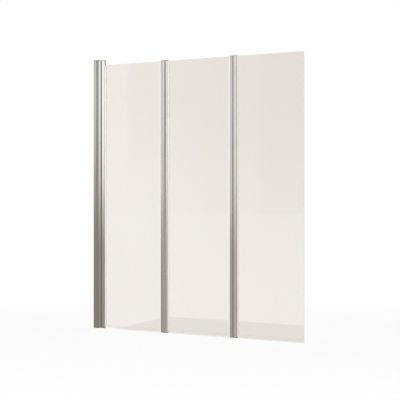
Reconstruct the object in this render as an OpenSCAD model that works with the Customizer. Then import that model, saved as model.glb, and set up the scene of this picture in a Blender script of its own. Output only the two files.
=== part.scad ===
// Folding bath screen: three glass panels on a wall post.
// X runs from the wall to the free edge, Y into the bath, Z up.
// The origin is on the wall, in the plane of the glass, at the level of the bath rim.

/* [Overall] */
// Width from the wall to the free edge of the glass
screen_w = 1200; // [1100:10:1400]
// Height from the bath rim to the top of the wall post
screen_h = 1400; // [1200:10:1600]
// How far the wall post stands above the glass
post_rise = 30; // [20:1:60]

/* [Panels] */
// Distance from the wall pivot to the first fold
panel_1_pitch = 389.5; // [330:0.5:430]
// Distance from the first fold to the second
panel_2_pitch = 389.5; // [330:0.5:430]
// Thickness of the safety glass
glass_t = 5; // [4:0.5:6]
// Gap between the bath rim and the glass
glass_foot = 8; // [6:0.5:14]
// Radius of the free corners of the last panel
glass_corner_r = 5; // [2:1:30]
// Width of the ground arris on the glass edges
glass_arris = 0.5; // [0.2:0.1:0.9]

/* [Wall channel] */
// Depth of the channel, out from the wall
channel_depth = 30; // [28:1:36]
// Thickness of the channel's two legs
channel_wall = 2; // [1.6:0.1:2.4]
// Thickness of the web that lies on the wall
channel_web = 2; // [1.5:0.1:2.6]
// Rise of the crowned faces at their middle
channel_crown = 0.4; // [0.2:0.1:0.8]
// Width of the bevels along the channel's front edges
channel_bevel = 14; // [4:0.5:16]
// How much the bevels thin each leg at its front edge
channel_bevel_drop = 1.2; // [0.5:0.1:1.2]
// Radius of the wall fixing holes
fixing_r = 2.75; // [2:0.25:3.5]
// Distance of the end fixing holes from the ends
fixing_inset = 100; // [60:5:160]
// Thickness of the channel's top cap
channel_cap_t = 2; // [1.5:0.5:4]

/* [Adjusting jamb] */
// Travel of the jamb each way in the channel
adjust_travel = 6; // [2:0.5:6]
// Distance from the wall to the wall pivot
pivot_x = 45; // [45:0.5:52]
// Thickness of the jamb's legs
jamb_wall = 1.8; // [1.4:0.1:2.2]
// Running gap between the jamb and the channel
jamb_gap = 0.2; // [0.1:0.05:0.4]
// Half of the jamb's thickness
jamb_half = 6.2; // [6:0.1:6.6]
// Distance from the pivot to the rear of the jamb
jamb_rear = 36; // [34:0.5:36]
// Radius of the adjusting screws
adjuster_r = 2; // [1.5:0.25:2.5]
// Distance from the wall to the adjusting screws
adjuster_x = 20; // [19:0.5:21]
// Distance of the end adjusting screws from the ends
adjuster_inset = 200; // [170:5:260]

/* [Wall pivot] */
// Radius of the round barrel that turns in the jamb
pivot_barrel_r = 8; // [7.5:0.1:8]
// Radius of the barrel's bore
pivot_bore_r = 5.2; // [4.5:0.1:5.6]
// Radius of the pivot pins
pivot_pin_r = 3; // [2:0.25:3.5]

/* [Clamp profiles] */
// Distance from the wall pivot to the lip of its glass clamp
stile_reach = 24; // [18:0.5:28]
// Distance from a fold's axis to the lip of the clamp that has the cradle
socket_reach = 22.5; // [15:0.5:26]
// Distance from a fold's axis to the lip of the clamp that has the barrel
barrel_reach = 17.5; // [15:0.5:26]
// Rounding of the clamps' corners beside the fold
fold_round = 2.4; // [1:0.1:2.6]
// Thickness of the clamp's two cheeks
clamp_wall = 1.8; // [1.5:0.1:2]
// Thickness of the glazing gasket on each face of the glass
gasket_t = 1.2; // [0.9:0.1:1.3]
// Width of the gasket's lip that shows outside the clamp
gasket_lip = 6; // [1:0.5:8]
// Depth of the hook that keeps the gasket in
hook_depth = 0.4; // [0.2:0.1:0.6]

/* [Fold hinges] */
// Distance of a fold's axis from the plane of the glass
fold_offset = 7.5; // [7.5:0.1:8.5]
// Radius of a fold's barrel
fold_barrel_r = 5.5; // [5:0.1:5.8]
// Radius of the bore in a fold's barrel
fold_bore_r = 3.4; // [3:0.1:3.8]
// Radius of a fold's pivot pins
fold_pin_r = 2; // [1.5:0.1:2.3]
// Gap between the two clamps of a fold
fold_gap = 1; // [0.8:0.1:1.6]
// Wall of the cradle that wraps a fold's barrel
cradle_wall = 1.75; // [1.2:0.05:2]

/* [End caps and seals] */
// Thickness of the end caps on the profiles
cap_t = 3; // [2.5:0.5:5]
// Height of the bottom end caps above the bath rim
cap_foot = 2; // [1:0.5:2.5]
// Height of the clip of the bottom seals on the glass
seal_clip_h = 14; // [8:1:24]
// Thickness of the bottom seals' walls
seal_wall = 0.8; // [0.6:0.1:1.2]
// Reach of the drip lip into the bath
drip_reach = 3.6; // [2:0.1:3.8]

/* [Hidden] */
$fn = 64;
eps = 0.01;
slip = 0.02;          // clearance of a pressed or screwed piece
run_gap = 0.07;       // radial clearance of a pin in its bush
barrel_gap = 0.35;    // clearance of a fold's barrel in its cradle
pivot_gap = 0.5;      // clearance of the wall barrel in the jamb
soft_gap = 0.3;       // what a soft lip keeps from a moving face
edge_r = 1.2;         // rounding of the profiles' outer corners
cap_step = 0.5;       // step round the outer face of an end cap

glass_top = screen_h - post_rise;
pane_slot = glass_t + 0.1;
pocket_half = glass_t / 2 + gasket_t;
clamp_half = pocket_half + clamp_wall;
hook_w = 1.4;
gasket_web = 1;

fold_1_x = pivot_x + panel_1_pitch;
fold_2_x = fold_1_x + panel_2_pitch;
fold_pocket = 7.5;    // from a fold's axis to the bottom of its glass pocket
stile_pocket = pivot_barrel_r + 1.2;

profile_foot = cap_foot + cap_t;
fold_top = glass_top + 0.5;
channel_top = screen_h - channel_cap_t;
jamb_top = channel_top - 1 - cap_t;
flange_t = 0.8;       // flange of a bush, with slip_t of axial play
slip_t = 0.2;

channel_inner = jamb_half + jamb_gap;
channel_half = channel_inner + channel_wall;
fixing_zs = [for (i = [0:3]) fixing_inset + i * (channel_top - 2 * fixing_inset) / 3];
adjuster_zs = [adjuster_inset, screen_h / 2, screen_h - adjuster_inset];

jamb_front = 6.2;     // from the pivot to the tips of the jamb
jamb_block = pivot_barrel_r + 6; // from the pivot to the back of the jamb's solid front
port_r = 1.4;         // screw ports, whose cap screws have heads twice as wide
port_gap = 0.2;       // clearance of an end-cap screw in its cap
port_edge = cap_step + 2 * port_r;
fold_port = [5, clamp_half - port_edge];
port_x = -pivot_barrel_r - 3.9;
jamb_ports = [[port_x, jamb_half - port_edge], [port_x, port_edge - jamb_half]];
wiper_slot_w = 2.2;   // groove in the jamb for the strip that wipes the barrel
wiper_slot_x = pivot_barrel_r + 2.7;
cradle_r = fold_barrel_r + barrel_gap;
cradle_clear = 0.5;   // what the cradle's tip keeps from the panel folded over it
cradle_tip = 2 * fold_offset - clamp_half - cradle_clear;

pin_head_t = 1.2;
pin_rim = 1.2;        // width of a pin's head round its shank
head_gap = 0.1;       // clearance of a pin's head in its cap
flange_gap = 0.3;     // what a bush's flange keeps inside the barrel
wall_bush_l = 16;
fold_bush_l = 14;
pin_past = 2;         // what a pin's end goes past its bush
cap_plug_l = 10;      // depth of the channel cap's plug

CHROME = [0.78, 0.78, 0.77];
CAP_GREY = [0.5, 0.5, 0.5];
STEEL = [0.7, 0.7, 0.7];
NYLON = [0.93, 0.93, 0.9];
CLEAR_VINYL = [0.9, 0.92, 0.9, 0.6];
PANE = [0.85, 0.88, 0.86, 0.35];

// ---------- shared plan shapes ----------

// A rectangle from x0 to x1 and -half to half, with four round corners
module bar_2d(x0, x1, half, r = edge_r) {
    translate([x0 + r, -half])
        square([x1 - x0 - 2 * r, 2 * half]);
    translate([x0, -half + r])
        square([x1 - x0, 2 * half - 2 * r]);
    for (x = [x0 + r, x1 - r], y = [-half + r, half - r])
        translate([x, y])
            circle(r);
}

// The outline of a fold's clamp and of its cap: rounder beside the fold than at the lip
module fold_clamp_2d(reach, inset = 0) {
    x0 = fold_gap / 2 + inset;
    x1 = reach - inset;
    half = clamp_half - inset;
    bar_2d(x0, x1 - edge_r, half, fold_round);
    bar_2d(x0 + fold_round, x1, half);
}

// The pocket that takes the glass and its gasket, hooked at the mouth
module pocket_2d(pocket_x, reach) {
    translate([pocket_x, -pocket_half])
        square([reach - hook_w - pocket_x, 2 * pocket_half]);
    translate([pocket_x, -pocket_half + hook_depth])
        square([reach + eps - pocket_x, 2 * (pocket_half - hook_depth)]);
}

// The gasket round one upright edge of the glass
module gasket_2d(pocket_x, reach) {
    difference() {
        union() {
            translate([pocket_x, -pocket_half + slip])
                square([reach - hook_w - slip - pocket_x, 2 * (pocket_half - slip)]);
            translate([pocket_x, -pocket_half + hook_depth + slip])
                square([reach + gasket_lip / 2 - pocket_x, 2 * (pocket_half - hook_depth - slip)]);
            bar_2d(reach + slip, reach + gasket_lip, pocket_half - slip, 0.4);
        }
        translate([pocket_x + gasket_web, -pane_slot / 2])
            square([reach + gasket_lip, pane_slot]);
    }
}

module at_fold_axis() {
    translate([0, -fold_offset])
        children();
}

// ---------- shared solids ----------

// An end cap: a plate with a small step round its outer face, which is up
module cap_plate(t) {
    linear_extrude(t - cap_step)
        children(0);
    linear_extrude(t)
        children(1);
}

// Turns a piece made for the top of a profile over, for the bottom
module underside() {
    mirror([0, 0, 1])
        children();
}

// A flanged bush, its flange on top at z = 0
module bush(outer_r, pin_r, length, flange_r) {
    difference() {
        union() {
            translate([0, 0, -flange_t - length])
                cylinder(r = outer_r - slip, h = length + flange_t);
            translate([0, 0, -flange_t])
                cylinder(r = flange_r, h = flange_t);
        }
        translate([0, 0, -flange_t - length - 1])
            cylinder(r = pin_r + run_gap, h = length + 2);
    }
}

// A headed pivot pin, the top of its head at z = 0
module pivot_pin(r, length, head_r, head_t) {
    difference() {
        union() {
            translate([0, 0, -length])
                cylinder(r = r, h = length);
            translate([0, 0, -head_t])
                cylinder(r = head_r, h = head_t);
        }
        translate([0, 0, -head_t * 0.7])
            cylinder(r = r * 0.6, h = head_t, $fn = 6);
    }
}

// A countersunk cap screw, the top of its head at z = 0
module cap_screw(length = 12) {
    difference() {
        union() {
            translate([0, 0, -length])
                cylinder(r = port_r - slip, h = length);
            translate([0, 0, -port_r])
                cylinder(r1 = port_r - slip, r2 = 2 * port_r - slip, h = port_r);
        }
        for (a = [0, 90])
            rotate(a)
                translate([-port_r, -0.25, -0.7])
                    cube([2 * port_r, 0.5, 1]);
    }
}

// The countersunk hole that takes a cap screw, its rim at z = 0
module cap_screw_hole() {
    translate([0, 0, -cap_t - 1])
        cylinder(r = port_r + port_gap, h = cap_t + 2);
    translate([0, 0, -port_r])
        cylinder(r1 = port_r, r2 = 2 * port_r, h = port_r);
    cylinder(r = 2 * port_r, h = 1);
}

// ---------- wall channel and its adjusting hardware ----------

module channel_outline_2d() {
    crown_r = (pow(channel_depth / 2, 2) + pow(channel_crown, 2)) / (2 * channel_crown);
    bevel_x = channel_depth - channel_bevel;
    front_half = channel_half - channel_bevel_drop;
    intersection() {
        polygon([
            [0, -channel_half], [bevel_x, -channel_half], [channel_depth, -front_half],
            [channel_depth, front_half], [bevel_x, channel_half], [0, channel_half]
        ]);
        translate([channel_depth / 2, channel_half - crown_r])
            circle(crown_r, $fn = 256);
        translate([channel_depth / 2, crown_r - channel_half])
            circle(crown_r, $fn = 256);
    }
}

module wall_channel() {
    color(CHROME)
    difference() {
        linear_extrude(channel_top)
            difference() {
                channel_outline_2d();
                translate([channel_web, -channel_inner])
                    square([channel_depth, 2 * channel_inner]);
            }
        for (z = fixing_zs)
            translate([-1, 0, z])
                rotate([0, 90, 0])
                    cylinder(r = fixing_r, h = channel_web + 2);
        for (z = adjuster_zs)
            translate([adjuster_x, 0, z])
                rotate([-90, 0, 0])
                    cylinder(r = adjuster_r + 0.15, h = channel_half + 1);
    }
}

module channel_top_cap() {
    plug_x = jamb_wall + channel_web + adjust_travel;
    color(CAP_GREY) {
        translate([0, 0, channel_top])
            linear_extrude(channel_cap_t)
                channel_outline_2d();
        // The plug goes down between the jamb's legs
        translate([channel_web + slip, -jamb_half + jamb_wall + soft_gap, channel_top - cap_plug_l])
            cube([plug_x, 2 * (jamb_half - jamb_wall - soft_gap), cap_plug_l + eps]);
    }
}

module at_adjusters() {
    for (z = adjuster_zs)
        translate([adjuster_x, channel_half, z])
            rotate([-90, 0, 0])
                children();
}

adjuster_head_t = 2.4;
adjuster_nut_t = 2.6;
adjuster_head_r = 2 * adjuster_r;

module adjuster_screws() {
    leg_inner = channel_wall + jamb_gap + jamb_wall;
    shank = leg_inner + adjuster_nut_t + 1.2;
    color(STEEL)
    at_adjusters()
        difference() {
            union() {
                translate([0, 0, -shank])
                    cylinder(r = adjuster_r - slip, h = shank + eps);
                cylinder(r = adjuster_head_r, h = adjuster_head_t);
            }
            translate([0, 0, adjuster_head_t - 1.3])
                cylinder(r = adjuster_r * 0.7, h = 2, $fn = 6);
        }
}

module adjuster_nuts() {
    leg_inner = channel_wall + jamb_gap + jamb_wall;
    color(STEEL)
    at_adjusters()
        translate([0, 0, -leg_inner - 0.2 - adjuster_nut_t])
            difference() {
                translate([-2.2 * adjuster_r, -3 * adjuster_r, 0])
                    cube([4.4 * adjuster_r, 6 * adjuster_r, adjuster_nut_t]);
                translate([0, 0, -1])
                    cylinder(r = adjuster_r, h = adjuster_nut_t + 2);
            }
}

module adjuster_covers() {
    cover_r = adjuster_head_r + 1.2;
    cover_t = adjuster_head_t + 1.2;
    color(CAP_GREY)
    at_adjusters()
        difference() {
            union() {
                cylinder(r = cover_r, h = cover_t - 0.8);
                translate([0, 0, cover_t - 0.8])
                    cylinder(r1 = cover_r, r2 = cover_r - 0.8, h = 0.8);
            }
            translate([0, 0, -1])
                cylinder(r = adjuster_head_r + 0.1, h = 1 + adjuster_head_t + 0.1);
        }
}

// ---------- adjusting jamb, which carries the wall pivot ----------

module jamb_2d() {
    difference() {
        union() {
            translate([-jamb_block, -jamb_half])
                square([jamb_block - jamb_front, 2 * jamb_half]);
            for (s = [-1, 1])
                translate([-jamb_rear, s > 0 ? jamb_half - jamb_wall : -jamb_half])
                    square([jamb_rear - jamb_block + eps, jamb_wall]);
        }
        circle(pivot_barrel_r + pivot_gap);
        for (p = jamb_ports)
            translate(p)
                circle(port_r);
        translate([-wiper_slot_x, -wiper_slot_w / 2])
            square([wiper_slot_x - pivot_barrel_r, wiper_slot_w]);
    }
}

module jamb_profile() {
    slot_r = adjuster_r + 0.3;
    color(CHROME)
    translate([pivot_x, 0, 0])
        difference() {
            translate([0, 0, profile_foot])
                linear_extrude(jamb_top - profile_foot)
                    jamb_2d();
            // Slots in the bath-side leg let the jamb slide past its screws
            for (z = adjuster_zs, dx = [-adjust_travel, adjust_travel])
                translate([adjuster_x - pivot_x + dx, 0, z])
                    rotate([-90, 0, 0])
                        cylinder(r = slot_r, h = jamb_half + 1);
            for (z = adjuster_zs)
                translate([adjuster_x - pivot_x - adjust_travel, 0, z - slot_r])
                    cube([2 * adjust_travel, jamb_half + 1, 2 * slot_r]);
        }
}

// The part of the jamb that can show past the channel, with a round lobe over the pivot
module jamb_cap_2d(inset = 0) {
    rear = pivot_x - channel_depth + adjust_travel + 1;
    bar_2d(-rear + inset, -jamb_front, jamb_half - inset, 0.6);
    circle(pivot_barrel_r - inset);
    translate([-jamb_front - 2, -4.5])
        square([4, 9]);
}

module jamb_cap() {
    difference() {
        cap_plate(cap_t) {
            jamb_cap_2d();
            jamb_cap_2d(cap_step);
        }
        translate([0, 0, -1])
            cylinder(r = pivot_pin_r, h = cap_t + 2);
        translate([0, 0, cap_t - pin_head_t])
            cylinder(r = pivot_pin_r + pin_rim + head_gap, h = pin_head_t + 1);
        for (p = jamb_ports)
            translate([p[0], p[1], cap_t])
                cap_screw_hole();
    }
}

// Places a piece at the upper and lower ends of the jamb
module at_jamb_top() {
    translate([pivot_x, 0, jamb_top])
        children();
}

module at_jamb_foot() {
    translate([pivot_x, 0, profile_foot])
        underside()
            children();
}

module jamb_top_cap() {
    color(CAP_GREY)
    at_jamb_top()
        jamb_cap();
}

module jamb_bottom_cap() {
    color(CAP_GREY)
    at_jamb_foot()
        jamb_cap();
}

module jamb_screw_pair() {
    for (p = jamb_ports)
        translate([p[0], p[1], cap_t])
            cap_screw();
}

module jamb_cap_screws() {
    color(STEEL) {
        at_jamb_top() jamb_screw_pair();
        at_jamb_foot() jamb_screw_pair();
    }
}

module wall_pin() {
    translate([0, 0, cap_t])
        pivot_pin(pivot_pin_r - slip, cap_t + wall_bush_l + pin_past, pivot_pin_r + pin_rim, pin_head_t);
}

module wall_pivot_pins() {
    color(STEEL) {
        at_jamb_top() wall_pin();
        at_jamb_foot() wall_pin();
    }
}

// A soft strip in the jamb's hollow, which wipes the barrel
module wall_pivot_seal() {
    nose_r = wiper_slot_w / 2 - slip;
    nose_x = -pivot_barrel_r - soft_gap - nose_r;
    back_x = slip - wiper_slot_x;
    color(CLEAR_VINYL)
    translate([pivot_x, 0, profile_foot])
        linear_extrude(jamb_top - profile_foot)
            union() {
                translate([back_x, -nose_r])
                    square([nose_x - back_x, 2 * nose_r]);
                translate([nose_x, 0])
                    circle(nose_r);
            }
}

// ---------- panel stile at the wall ----------

module stile_outline_2d() {
    bar_2d(pivot_barrel_r / 2, stile_reach, clamp_half);
    circle(pivot_barrel_r);
}

module stile_profile() {
    color(CHROME)
    translate([pivot_x, 0, 0])
        difference() {
            translate([0, 0, profile_foot])
                linear_extrude(jamb_top - profile_foot)
                    difference() {
                        stile_outline_2d();
                        circle(pivot_bore_r);
                        pocket_2d(stile_pocket, stile_reach);
                    }
            // The barrel's ends are set back for the flanges of the bushes
            for (z = [profile_foot - eps, jamb_top - flange_t - slip_t])
                translate([0, 0, z])
                    cylinder(r = pivot_barrel_r + 0.1, h = flange_t + slip_t + eps);
        }
}

module wall_bush() {
    translate([0, 0, -slip_t])
        bush(pivot_bore_r, pivot_pin_r, wall_bush_l, pivot_barrel_r - flange_gap);
}

module stile_bushes() {
    color(NYLON) {
        at_jamb_top() wall_bush();
        at_jamb_foot() wall_bush();
    }
}

module stile_cap_2d(inset = 0) {
    difference() {
        bar_2d(pivot_barrel_r / 2, stile_reach - inset, clamp_half - inset);
        circle(pivot_barrel_r + 0.4 + inset);
    }
}

// A push-in cap, whose tongue fills the pocket down to the glass
module stile_cap(tongue) {
    cap_plate(cap_t) {
        stile_cap_2d();
        stile_cap_2d(cap_step);
    }
    translate([stile_pocket + slip, -pocket_half + hook_depth + slip, -tongue])
        cube([stile_reach - stile_pocket - slip - 0.5,
              2 * (pocket_half - hook_depth - slip), tongue + eps]);
}

module stile_top_cap() {
    color(CAP_GREY)
    at_jamb_top()
        stile_cap(jamb_top - glass_top - soft_gap);
}

module stile_bottom_cap() {
    color(CAP_GREY)
    at_jamb_foot()
        stile_cap(glass_foot - profile_foot - soft_gap);
}

// ---------- fold hinges ----------

// Fold 2 is fold 1 turned round: its barrel is on the bath side, and both barrels are on pane 2
module at_fold(n) {
    if (n == 1)
        translate([fold_1_x, 0, 0])
            children();
    else
        translate([fold_2_x, 0, 0])
            rotate(180)
                children();
}

module at_fold_top(n) {
    at_fold(n)
        translate([0, 0, fold_top])
            children();
}

module at_fold_foot(n) {
    at_fold(n)
        translate([0, 0, profile_foot])
            underside()
                children();
}

// The side with the barrel, to the right of fold 1's axis
module barrel_side_2d() {
    fold_clamp_2d(barrel_reach);
    at_fold_axis()
        circle(fold_barrel_r);
}

module barrel_profile(n) {
    color(CHROME)
    at_fold(n)
        difference() {
            translate([0, 0, profile_foot])
                linear_extrude(fold_top - profile_foot)
                    difference() {
                        barrel_side_2d();
                        at_fold_axis()
                            circle(fold_bore_r);
                        pocket_2d(fold_pocket, barrel_reach);
                        translate(fold_port)
                            circle(port_r);
                    }
            for (z = [profile_foot - eps, fold_top - flange_t - slip_t])
                translate([0, -fold_offset, z])
                    cylinder(r = fold_barrel_r + 0.1, h = flange_t + slip_t + eps);
        }
}

// The side with the cradle, to the left of fold 1's axis
module socket_side_2d() {
    mirror([1, 0])
        fold_clamp_2d(socket_reach);
    intersection() {
        at_fold_axis()
            circle(cradle_r + cradle_wall);
        translate([-2 * fold_barrel_r, -cradle_tip])
            square([2 * fold_barrel_r - fold_gap / 2, cradle_tip]);
    }
}

seal_groove = [1.9, 2.6]; // depth and width of the groove for a fold's seal
seal_y = 2.6;

module socket_profile(n) {
    color(CHROME)
    at_fold(n)
        translate([0, 0, profile_foot])
            linear_extrude(fold_top - profile_foot)
                difference() {
                    socket_side_2d();
                    at_fold_axis()
                        circle(cradle_r);
                    mirror([1, 0]) {
                        pocket_2d(fold_pocket, socket_reach);
                        translate(fold_port + [0.6, 0])
                            circle(port_r);
                    }
                    translate([-fold_gap / 2 - seal_groove[0], seal_y - seal_groove[1] / 2])
                        square([seal_groove[0] + 1, seal_groove[1]]);
                }
}

// A soft strip that closes the gap between the two clamps
module fold_seal(n) {
    nose_r = seal_groove[1] / 2 - slip;
    nose_x = fold_gap / 2 - soft_gap;
    color(CLEAR_VINYL)
    at_fold(n)
        translate([0, 0, profile_foot])
            linear_extrude(fold_top - profile_foot)
                union() {
                    translate([-fold_gap / 2 - seal_groove[0] + slip, seal_y - nose_r])
                        square([seal_groove[0] + fold_gap / 2 + nose_x - nose_r, 2 * nose_r]);
                    translate([nose_x - nose_r, seal_y])
                        circle(nose_r);
                }
}

module socket_cap_2d(inset = 0) {
    mirror([1, 0])
        fold_clamp_2d(socket_reach, inset);
    intersection() {
        at_fold_axis()
            circle(cradle_r + cradle_wall - inset);
        translate([-2 * fold_barrel_r, -cradle_tip + inset])
            square([2 * fold_barrel_r - fold_gap / 2 - inset, cradle_tip]);
    }
    at_fold_axis()
        circle(fold_barrel_r + 0.6 - inset);
}

module socket_cap() {
    difference() {
        cap_plate(cap_t) {
            socket_cap_2d();
            socket_cap_2d(cap_step);
        }
        translate([0, -fold_offset, -1])
            cylinder(r = fold_pin_r, h = cap_t + 2);
        translate([0, -fold_offset, cap_t - pin_head_t])
            cylinder(r = fold_pin_r + pin_rim + head_gap, h = pin_head_t + 1);
        translate([-fold_port[0] - 0.6, fold_port[1], cap_t])
            cap_screw_hole();
    }
}

module fold_top_cap(n) {
    color(CAP_GREY)
    at_fold_top(n)
        socket_cap();
}

module fold_bottom_cap(n) {
    color(CAP_GREY)
    at_fold_foot(n)
        socket_cap();
}

module socket_screw() {
    translate([-fold_port[0] - 0.6, fold_port[1], cap_t])
        cap_screw();
}

module socket_screws(n) {
    color(STEEL) {
        at_fold_top(n) socket_screw();
        at_fold_foot(n) socket_screw();
    }
}

module fold_pin() {
    translate([0, -fold_offset, cap_t])
        pivot_pin(fold_pin_r - slip, cap_t + fold_bush_l + pin_past, fold_pin_r + pin_rim, pin_head_t);
}

module fold_pins(n) {
    color(STEEL) {
        at_fold_top(n) fold_pin();
        at_fold_foot(n) fold_pin();
    }
}

module fold_bush() {
    translate([0, -fold_offset, -slip_t])
        bush(fold_bore_r, fold_pin_r, fold_bush_l, fold_barrel_r - flange_gap);
}

module fold_bushes(n) {
    color(NYLON) {
        at_fold_top(n) fold_bush();
        at_fold_foot(n) fold_bush();
    }
}

// The cap of the barrel side keeps clear of the lobe of the other
module barrel_cap_2d(inset = 0) {
    difference() {
        fold_clamp_2d(barrel_reach, inset);
        at_fold_axis()
            circle(fold_barrel_r + 1 + inset);
    }
}

module barrel_cap() {
    difference() {
        cap_plate(cap_t) {
            barrel_cap_2d();
            barrel_cap_2d(cap_step);
        }
        translate([fold_port[0], fold_port[1], cap_t])
            cap_screw_hole();
    }
}

module barrel_caps(n) {
    color(CAP_GREY) {
        at_fold_top(n) barrel_cap();
        at_fold_foot(n) barrel_cap();
    }
}

module barrel_screw() {
    translate([fold_port[0], fold_port[1], cap_t])
        cap_screw();
}

module barrel_screws(n) {
    color(STEEL) {
        at_fold_top(n) barrel_screw();
        at_fold_foot(n) barrel_screw();
    }
}

// ---------- glass, gaskets and bottom seals ----------

pane_1 = [pivot_x + stile_pocket + gasket_web, fold_1_x - fold_pocket - gasket_web];
pane_2 = [fold_1_x + fold_pocket + gasket_web, fold_2_x - fold_pocket - gasket_web];
pane_3 = [fold_2_x + fold_pocket + gasket_web, screen_w];

// A pane with ground arrises on its upright edges
module pane(xs) {
    a = glass_arris;
    h = glass_t / 2;
    translate([0, 0, glass_foot])
        linear_extrude(glass_top - glass_foot)
            polygon([
                [xs[0], -h + a], [xs[0] + a, -h], [xs[1] - a, -h], [xs[1], -h + a],
                [xs[1], h - a], [xs[1] - a, h], [xs[0] + a, h], [xs[0], h - a]
            ]);
}

module glass_1() {
    color(PANE) pane(pane_1);
}

module glass_2() {
    color(PANE) pane(pane_2);
}

// The last pane has round free corners
module glass_3() {
    r = glass_corner_r;
    height = glass_top - glass_foot;
    color(PANE)
    intersection() {
        pane(pane_3);
        translate([0, glass_t, glass_foot])
            rotate([90, 0, 0])
                linear_extrude(2 * glass_t) {
                    translate([pane_3[0] - 1, 0])
                        square([pane_3[1] - pane_3[0] + 1 - r, height]);
                    translate([pane_3[0] - 1, r])
                        square([pane_3[1] - pane_3[0] + 1, height - 2 * r]);
                    for (z = [r, height - r])
                        translate([pane_3[1] - r, z])
                            circle(r);
                }
    }
}

module gasket(pocket_x, reach) {
    translate([0, 0, glass_foot])
        linear_extrude(glass_top - glass_foot)
            gasket_2d(pocket_x, reach);
}

module socket_gasket(n) {
    at_fold(n)
        mirror([1, 0, 0])
            gasket(fold_pocket, socket_reach);
}

module barrel_gasket(n) {
    at_fold(n)
        gasket(fold_pocket, barrel_reach);
}

module glass_1_gaskets() {
    color(CLEAR_VINYL) {
        translate([pivot_x, 0, 0])
            gasket(stile_pocket, stile_reach);
        socket_gasket(1);
    }
}

module glass_2_gaskets() {
    color(CLEAR_VINYL) {
        barrel_gasket(1);
        barrel_gasket(2);
    }
}

module glass_3_gasket() {
    color(CLEAR_VINYL)
    socket_gasket(2);
}

seal_base = 1.5;      // thickness of the seal under the glass
wiper_foot = 0.6;     // heights of the soft tips above the bath rim
drip_foot = 1.2;

// The section of a bottom seal: a clip on the glass, two wipers and a drip lip
module bottom_seal_2d() {
    inner = glass_t / 2 + 0.05;
    outer = inner + seal_wall;
    base = glass_foot - seal_base;
    top = glass_foot + seal_clip_h;
    root = glass_foot + 3.5;
    difference() {
        translate([-outer, base])
            square([2 * outer, top - base]);
        translate([-inner, glass_foot])
            square([2 * inner, top]);
    }
    for (y = [-outer, outer - seal_wall])
        translate([y, wiper_foot])
            square([seal_wall, base + seal_base / 2 - wiper_foot]);
    polygon([
        [outer - seal_wall / 2, root - 2 * seal_wall], [outer + drip_reach - seal_wall, drip_foot],
        [outer + drip_reach, drip_foot], [outer - seal_wall / 2, root]
    ]);
}

module bottom_seal(xs) {
    color(CLEAR_VINYL)
    translate([xs[0], 0, 0])
        rotate([90, 0, 90])
            linear_extrude(xs[1] - xs[0])
                bottom_seal_2d();
}

// What the bottom seals keep from the pivots' axes, to end beside the gaskets
seal_gap = gasket_lip + soft_gap;
seal_1_ends = [pivot_x + stile_reach + seal_gap, fold_1_x - socket_reach - seal_gap];
seal_2_ends = [fold_1_x + barrel_reach + seal_gap, fold_2_x - barrel_reach - seal_gap];
seal_3_ends = [fold_2_x + socket_reach + seal_gap, screen_w];

// ---------- the nodes ----------

wall_channel();
channel_top_cap();
adjuster_screws();
adjuster_nuts();
adjuster_covers();
jamb_profile();
jamb_top_cap();
jamb_bottom_cap();
jamb_cap_screws();
wall_pivot_pins();
wall_pivot_seal();
stile_profile();
stile_bushes();
stile_top_cap();
stile_bottom_cap();
glass_1();
glass_1_gaskets();
bottom_seal(seal_1_ends);  // bottom_seal_1
socket_profile(1);  // fold_1_socket_profile
fold_top_cap(1);  // fold_1_top_cap
fold_bottom_cap(1);  // fold_1_bottom_cap
socket_screws(1);  // fold_1_socket_screws
fold_pins(1);  // fold_1_pins
fold_seal(1);  // fold_1_seal
barrel_profile(1);  // fold_1_barrel_profile
fold_bushes(1);  // fold_1_bushes
barrel_caps(1);  // fold_1_barrel_caps
barrel_screws(1);  // fold_1_barrel_screws
glass_2();
glass_2_gaskets();
bottom_seal(seal_2_ends);  // bottom_seal_2
socket_profile(2);  // fold_2_socket_profile
fold_top_cap(2);  // fold_2_top_cap
fold_bottom_cap(2);  // fold_2_bottom_cap
socket_screws(2);  // fold_2_socket_screws
fold_pins(2);  // fold_2_pins
fold_seal(2);  // fold_2_seal
barrel_profile(2);  // fold_2_barrel_profile
fold_bushes(2);  // fold_2_bushes
barrel_caps(2);  // fold_2_barrel_caps
barrel_screws(2);  // fold_2_barrel_screws
glass_3();
glass_3_gasket();
bottom_seal(seal_3_ends);  // bottom_seal_3
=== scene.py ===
"""The looks of the folding bath screen: metal, glass, vinyl and moulded caps, in a plain studio."""

import math

import bpy
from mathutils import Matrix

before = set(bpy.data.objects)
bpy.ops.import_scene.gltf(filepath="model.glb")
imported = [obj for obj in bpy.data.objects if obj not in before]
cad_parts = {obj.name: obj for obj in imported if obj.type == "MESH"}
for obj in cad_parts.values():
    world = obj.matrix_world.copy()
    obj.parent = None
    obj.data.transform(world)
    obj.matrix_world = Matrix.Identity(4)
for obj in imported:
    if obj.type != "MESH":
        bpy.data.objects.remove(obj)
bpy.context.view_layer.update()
scene = bpy.context.scene
scene.view_settings.view_transform = "Standard"

# ---------- small helpers for node trees ----------


def add(tree, kind, **settings):
    """A new shader node of this kind, with these settings."""
    made = tree.nodes.new("ShaderNode" + kind)
    for key, value in settings.items():
        setattr(made, key, value)
    return made


def put(tree, socket, value):
    """Links a socket into this input, or sets its plain value."""
    if isinstance(value, bpy.types.NodeSocket):
        tree.links.new(value, socket)
    else:
        socket.default_value = value


def feed(tree, target, *values):
    """Sets a node's inputs in order, from sockets or plain values."""
    for socket, value in zip(target.inputs, values):
        put(tree, socket, value)
    return target


def sums(tree, operation, *values):
    """The result of a Math node."""
    return feed(tree, add(tree, "Math", operation=operation), *values).outputs[0]


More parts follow.
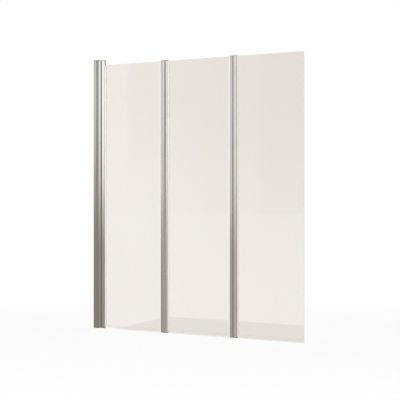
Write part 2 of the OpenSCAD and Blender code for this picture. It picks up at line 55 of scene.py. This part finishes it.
def spread(tree, value, low, high, to_low, to_high):
    """Takes low..high to to_low..to_high, with soft ends."""
    made = add(tree, "MapRange", interpolation_type="SMOOTHSTEP")
    for name, v in zip(("Value", "From Min", "From Max", "To Min", "To Max"), (value, low, high, to_low, to_high)):
        put(tree, made.inputs[name], v)
    return made.outputs["Result"]


def mixed(tree, share, a, b):
    """Colour a, turning to b as share goes to 1."""
    made = add(tree, "Mix", data_type="RGBA")
    for socket, v in zip((made.inputs[0], made.inputs[6], made.inputs[7]), (share, a, b)):
        put(tree, socket, v)
    return made.outputs[2]


def axes(tree, vector):
    """The x, y and z of a vector."""
    return feed(tree, add(tree, "SeparateXYZ"), vector).outputs


def grey(level):
    """A grey with its alpha."""
    return (level, level, level, 1)


def colour(rgb, level=1):
    """A colour at this level, with its alpha."""
    return (*[level * c for c in rgb], 1)


def noise(tree, scale, size=(1, 1, 1), detail=4, roughness=0.5):
    """Noise in the row frame, stretched by size."""
    fit = add(tree, "Mapping")
    put(tree, fit.inputs["Vector"], add(tree, "TexCoord").outputs["Object"])
    fit.inputs["Scale"].default_value = size
    made = add(tree, "TexNoise")
    put(tree, made.inputs["Vector"], fit.outputs[0])
    made.inputs["Scale"].default_value = scale
    made.inputs["Detail"].default_value = detail
    made.inputs["Roughness"].default_value = roughness
    return made.outputs[0]


def bumped(tree, height, strength, distance):
    """A normal from a height."""
    made = add(tree, "Bump")
    made.inputs["Strength"].default_value = strength
    made.inputs["Distance"].default_value = distance
    put(tree, made.inputs["Height"], height)
    return made.outputs[0]


def blank(name):
    """A new material, with its node tree and its Principled shader."""
    made = bpy.data.materials.new(name)
    made.use_nodes = True
    tree = made.node_tree
    return made, tree, tree.nodes["Principled BSDF"]


# ---------- materials ----------

DIE_LINES = (900, 900, 3)  # fine lines of an extrusion, drawn out along its length
MOTTLE = (30, 30, 6)
DULL = 0.95                # the darkest drift of a metal's tint
PAINTED_SHADE_LEVEL = 0.55                 # level of the metal under a band of painted shade, darker than the polished rest
PAINTED_SHADE_EDGE = 0.0002          # half the width of such a band's soft edge


def between(tree, x, low, high):
    """1 between these two places, and 0 elsewhere."""
    ends = [spread(tree, x, place - PAINTED_SHADE_EDGE, place + PAINTED_SHADE_EDGE, 0, 1) for place in (low, high)]
    return sums(tree, "SUBTRACT", *ends)


def drawn_metal(name, tone, rough, haze, *painted_shade_bands):
    """Extruded metal: fine die lines along it, faint handling haze, and a tint that drifts a little.

    Each pair of painted shade bands gives the x between which the metal is darker: painted shade standing for the
    dark lines at the profile's corners and gaps.
    """
    made, tree, shader = blank(name)
    lines = noise(tree, 1, DIE_LINES, 3)
    cloud = noise(tree, 1, MOTTLE, 5, 0.6)
    tint = mixed(tree, spread(tree, cloud, 0.35, 0.65, 0, 1), colour(tone), colour(tone, DULL))
    if painted_shade_bands:
        x = axes(tree, add(tree, "TexCoord").outputs["Object"])[0]
        for low, high in painted_shade_bands:
            # painted shade: darker bands at the profile's corners and gaps
            tint = mixed(tree, between(tree, x, low, high), tint, colour(tone, PAINTED_SHADE_LEVEL))
    put(tree, shader.inputs["Base Color"], tint)
    put(tree, shader.inputs["Roughness"], spread(tree, lines, 0.3, 0.7, rough, rough + haze))
    put(tree, shader.inputs["Normal"], bumped(tree, lines, 0.05, 0.0002))
    shader.inputs["Metallic"].default_value = 1
    return made


SPARK = 2600       # scale of the fine grain of a spark-eroded mould
SPARK_ROUGH = 0.06
FLOW_LEVEL = 0.86  # the darkest of the flow mottle


def moulded(name, tone, rough, grain):
    """Moulded plastic: a fine spark grain and a slight flow mottle."""
    made, tree, shader = blank(name)
    spark = noise(tree, SPARK, detail=2)
    flow = noise(tree, 60, detail=4)
    tint = mixed(tree, spread(tree, flow, 0.3, 0.7, 0, 1), colour(tone), colour(tone, FLOW_LEVEL))
    put(tree, shader.inputs["Base Color"], tint)
    put(tree, shader.inputs["Roughness"], spread(tree, spark, 0.3, 0.7, rough - SPARK_ROUGH, rough + SPARK_ROUGH))
    put(tree, shader.inputs["Normal"], bumped(tree, spark, grain, 0.0001))
    return made


def lets_light_by(made, tree, shader, shadow):
    """Shadow rays go through, so that clear pieces darken the floor only a little."""
    clear = add(tree, "BsdfTransparent")
    clear.inputs[0].default_value = colour(shadow)
    path = add(tree, "LightPath")
    both = feed(tree, add(tree, "MixShader"), path.outputs["Is Shadow Ray"], shader.outputs[0], clear.outputs[0])
    put(tree, tree.nodes["Material Output"].inputs["Surface"], both.outputs[0])
    return made


GLASS_LOW = (0.903, 0.863, 0.832)   # tint low down, at the wall
GLASS_HIGH_SHADED = (0.8, 0.76, 0.715)     # the deepest tint, with painted shade, high up at the free edge
GLASS_EDGE = (0.97, 0.97, 0.96)
GLASS_SHADOW = (0.93, 0.925, 0.92)
GLASS_IOR = 1.5
VINYL_SHADOW = (0.97, 0.97, 0.97)


def safety_glass():
    """Clear float glass with a warm tint, darkened a little upward and to the free edge by painted shade; its edges
    are ground.
    """
    made, tree, shader = blank("safety_glass")
    coord = add(tree, "TexCoord")
    x, _, z = axes(tree, coord.outputs["Object"])
    waver = sums(tree, "MULTIPLY", noise(tree, 3, detail=2), 0.1)
    # painted shade: the glass darkens upward and toward the free edge
    up = spread(tree, sums(tree, "ADD", z, waver), 0.5, 1.3, 0, 0.65)
    along = spread(tree, x, 0.15, 0.9, 0, spread(tree, z, 0.2, 0.7, 0.18, 0.36))
    tint = mixed(tree, sums(tree, "ADD", up, along), colour(GLASS_LOW), colour(GLASS_HIGH_SHADED))
    # The edges are the faces that don't look to the front or back
    facing = sums(tree, "ABSOLUTE", axes(tree, coord.outputs["Normal"])[1])
    ground = spread(tree, facing, 0.5, 0.8, 1, 0)
    put(tree, shader.inputs["Base Color"], mixed(tree, ground, tint, colour(GLASS_EDGE)))
    put(tree, shader.inputs["Roughness"], spread(tree, ground, 0, 1, 0, 0.35))
    put(tree, shader.inputs["Transmission Weight"], spread(tree, ground, 0, 1, 1, 0.2))
    put(tree, shader.inputs["Normal"], bumped(tree, noise(tree, 2, detail=2), 0.02, 0.001))
    shader.inputs["IOR"].default_value = GLASS_IOR
    return lets_light_by(made, tree, shader, GLASS_SHADOW)


def soft_vinyl(name, tone, rough, ior, clearness, wave, strength):
    """Clear or milky vinyl, a little wavy along its length."""
    made, tree, shader = blank(name)
    ripple = noise(tree, 40, wave, 2)
    put(tree, shader.inputs["Base Color"], mixed(tree, ripple, colour(tone), colour(tone, 0.98)))
    put(tree, shader.inputs["Normal"], bumped(tree, ripple, strength, 0.001))
    shader.inputs["Transmission Weight"].default_value = clearness
    shader.inputs["IOR"].default_value = ior
    shader.inputs["Roughness"].default_value = rough
    return lets_light_by(made, tree, shader, VINYL_SHADOW)


# Name, tone, roughness, haze, and the bands of painted shade
# The bright and dim polished aluminium are lighter and darker copies of one metal, set part by part: painted light
# and painted shade
satin = drawn_metal("satin_aluminium", (0.57, 0.57, 0.55), 0.08, 0.06)
post = drawn_metal("polished_aluminium_post", (0.8, 0.785, 0.77), 0.04, 0.04)
stile = drawn_metal("polished_aluminium_stile", (0.8, 0.785, 0.77), 0.04, 0.04, (0.0448, 0.0508))
painted_light_aluminium = drawn_metal("polished_aluminium_painted_light", (0.95, 0.94, 0.93), 0.08, 0.06, (0.824, 0.8285), (0.8445, 0.847))
middle = drawn_metal("polished_aluminium_middle", (0.8, 0.79, 0.78), 0.04, 0.04)
painted_shade_aluminium = drawn_metal("polished_aluminium_painted_shade", (0.72, 0.71, 0.7), 0.05, 0.04, (0.4115, 0.414))
steel = drawn_metal("stainless_steel", (0.6, 0.59, 0.58), 0.22, 0.12)

# Name, tone, roughness and grain
caps = moulded("grey_moulding", (0.3, 0.293, 0.283), 0.42, 0.12)
nylon = moulded("nylon", (0.78, 0.77, 0.73), 0.5, 0.08)

# Name, tone, roughness, refraction, clearness, and the stretch and strength of the waves
ALONG_Z = (1, 1, 0.2)
ALONG_X = (0.2, 1, 1)
milky = soft_vinyl("milky_vinyl", (1, 0.965, 0.935), 0.25, 1.12, 0.05, ALONG_Z, 0.1)
vinyl = soft_vinyl("clear_vinyl", (0.99, 0.955, 0.925), 0.25, 1.12, 0.25, ALONG_Z, 0.1)
# The fold seals' grey tone is painted shade for the hinge gaps they sit in, on a clear vinyl
shaded_seal_vinyl = soft_vinyl("clear_seal_vinyl_painted_shade", (0.5, 0.49, 0.48), 0.3, 1.4, 0.7, ALONG_Z, 0.1)
seal = soft_vinyl("clear_seal", (0.985, 0.98, 0.975), 0.05, 1.06, 1, ALONG_X, 0.05)

pane = safety_glass()

# A word in the node's name, and its finish. The first word that fits counts.
FINISH = (
    ("screw", steel),
    ("nuts", steel),
    ("pins", steel),
    ("bushes", nylon),
    ("cap", caps),
    ("covers", caps),
    ("glass_3_gasket", vinyl),
    ("gasket", milky),
    ("bottom_seal", seal),
    ("seal", shaded_seal_vinyl),
    ("wall_channel", satin),
    ("jamb_profile", post),
    ("stile_profile", stile),
    ("fold_1_socket_profile", painted_shade_aluminium),
    ("fold_1_barrel_profile", painted_light_aluminium),
    ("fold_2_barrel_profile", middle),
    ("fold_2_socket_profile", painted_light_aluminium),
    ("glass", pane),
)

for name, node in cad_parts.items():
    finish = next(made for word, made in FINISH if word in name)
    node.data.materials.clear()
    node.data.materials.append(finish)

# ---------- floor and studio ----------

FLOOR_TONE = 0.93
FLOOR_PLAIN = 0.85                 # share of plain white at the object
FLOOR_PAINTED_SHADOW = (0.885, 0.88, 0.875)  # painted shadow on the floor behind the glass, seen only through the glass

bpy.ops.mesh.primitive_plane_add(size=60, location=(0.6, 0, 0))
floor = bpy.context.object
floor.name = "studio_floor"
floor.visible_glossy = False


def floor_material():
    """Pale and lit near the object, and plain white further off, where it meets the white surround."""
    made, tree, shader = blank("pale_floor")
    tree.nodes.remove(shader)
    place = add(tree, "NewGeometry").outputs["Position"]
    x, y, _ = axes(tree, place)
    reach = feed(tree, add(tree, "VectorMath", operation="DISTANCE"), place, (0.6, 0.2, 0))
    plain = spread(tree, reach.outputs["Value"], 0.7, 2.2, FLOOR_PLAIN, 1)
    lit = add(tree, "BsdfDiffuse")
    lit.inputs[0].default_value = grey(FLOOR_TONE)
    # A painted shadow makes the floor a shade deeper behind the glass, and only the glass shows it
    slant = sums(tree, "ADD", x, sums(tree, "MULTIPLY", y, 0.088))
    shadow_width = sums(tree, "MULTIPLY", spread(tree, slant, 0.11, 0.13, 0, 1), spread(tree, x, 1.5, 1.9, 1, 0))
    shadow_depth = sums(tree, "MULTIPLY", spread(tree, y, -0.05, 0, 0, 1), spread(tree, y, 0.6, 0.66, 1, 0))
    through = add(tree, "LightPath").outputs["Is Transmission Ray"]
    shade = sums(tree, "MULTIPLY", sums(tree, "MULTIPLY", shadow_width, shadow_depth), through)
    glow = add(tree, "Emission")
    put(tree, glow.inputs[0], mixed(tree, shade, grey(1), colour(FLOOR_PAINTED_SHADOW)))
    both = feed(tree, add(tree, "MixShader"), sums(tree, "MAXIMUM", plain, through), lit.outputs[0], glow.outputs[0])
    put(tree, tree.nodes["Material Output"].inputs["Surface"], both.outputs[0])
    return made


floor.data.materials.append(floor_material())

# The soft panels that the metal and the glass reflect, one after another round the object. Each starts at an
# azimuth in degrees, 0 towards -Y and positive to +X. Blur is the width of its soft edge in degrees, upper and
# lower are its levels above and below the horizon, and the last two say between which heights it changes.
PANELS = (
    # start, blur, upper, lower, from, to
    (-180, 0, 0.95, 0.5, -0.05, 0.05),
    (-110, 20, 0.95, 0.36, -0.06, 0.04),
    (-62, 10, 1.12, 0.36, 0.04, 0.12),
    (-46, 4, 0.85, 0.35, -0.05, 0.06),
    (-37.2, 0.6, 1.15, 0.37, 0, 0.1),
    (-35.8, 0.3, 1.15, 0.33, -0.06, 0.055),
    (-33.7, 0.15, 0.78, 0.42, -0.066, 0.026),
    (-29, 3, 0.72, 0.42, -0.066, 0.026),
    (-26.7, 1, 0.5, 0.34, 0, 0.1),
    (-14, 6, 0.65, 0.28, 0.02, 0.09),
    (22, 8, 0.28, 0.33, 0, 0.08),
    (106, 8, 0.85, 0.6, -0.05, 0.05),
    (130, 30, 0.95, 0.7, -0.05, 0.05),
)
WARM_UPPER = (1.03, 1, 0.97)
WARM_LOWER = (1.1, 1, 0.93)
CEILING = 0.95   # level that all the panels come to overhead
SOFT_FILL = 0.55  # level of the surround on what is matt


def studio():
    """The studio round the object: white to the eye and through the glass, and soft panels in what is reflected."""
    made = bpy.data.worlds.new("soft_studio")
    made.use_nodes = True
    tree = made.node_tree
    x, y, z = axes(tree, add(tree, "TexCoord").outputs["Generated"])
    turn = sums(tree, "DEGREES", sums(tree, "ARCTAN2", x, sums(tree, "MULTIPLY", y, -1)))
    level = None
    for start, blur, upper, lower, z_from, z_to in PANELS:
        panel = mixed(tree, spread(tree, z, z_from, z_to, 0, 1), colour(WARM_LOWER, lower), colour(WARM_UPPER, upper))
        if level is None:
            level = panel
        else:
            level = mixed(tree, spread(tree, turn, start - blur / 2, start + blur / 2, 0, 1), level, panel)
    level = mixed(tree, spread(tree, z, 0.35, 0.6, 0, 1), level, grey(CEILING))
    path = add(tree, "LightPath")
    direct = sums(tree, "MAXIMUM", path.outputs["Is Camera Ray"], path.outputs["Is Transmission Ray"])
    reflected = sums(tree, "GREATER_THAN", path.outputs["Glossy Depth"], 0.5)
    unseen = mixed(tree, path.outputs["Is Diffuse Ray"], level, grey(SOFT_FILL))
    straight = sums(tree, "MULTIPLY", direct, sums(tree, "SUBTRACT", 1, reflected))
    put(tree, tree.nodes["Background"].inputs[0], mixed(tree, straight, unseen, grey(1)))
    scene.world = made


studio()


def lamp(name, place, aim, size, power):
    """A soft square lamp, turned to aim."""
    made = bpy.data.objects.new(name, bpy.data.lights.new(name, "AREA"))
    made.data.size = size
    made.data.energy = power
    made.location = place
    away = [a - b for a, b in zip(place, aim)]
    made.rotation_euler = (math.atan2(math.hypot(away[0], away[1]), away[2]), 0, math.atan2(away[0], -away[1]))
    scene.collection.objects.link(made)


SCREEN_MIDDLE = (0.6, 0, 0.6)
lamp("key_lamp", (0.2, -3.4, 2.9), SCREEN_MIDDLE, 2.0, 42)
lamp("back_lamp", (1.0, 2.2, 3.0), SCREEN_MIDDLE, 2.0, 18)

# ---------- camera, worked out from the photo's vanishing point ----------

camera = bpy.data.objects.new("camera", bpy.data.cameras.new("camera"))
camera.location = (3.30326, -4.63919, 0.703)
camera.rotation_euler = (math.pi / 2, 0, math.radians(29.886))
camera.data.sensor_width = 36
camera.data.lens = 97.37
camera.data.shift_y = -0.0163
scene.collection.objects.link(camera)
scene.camera = camera
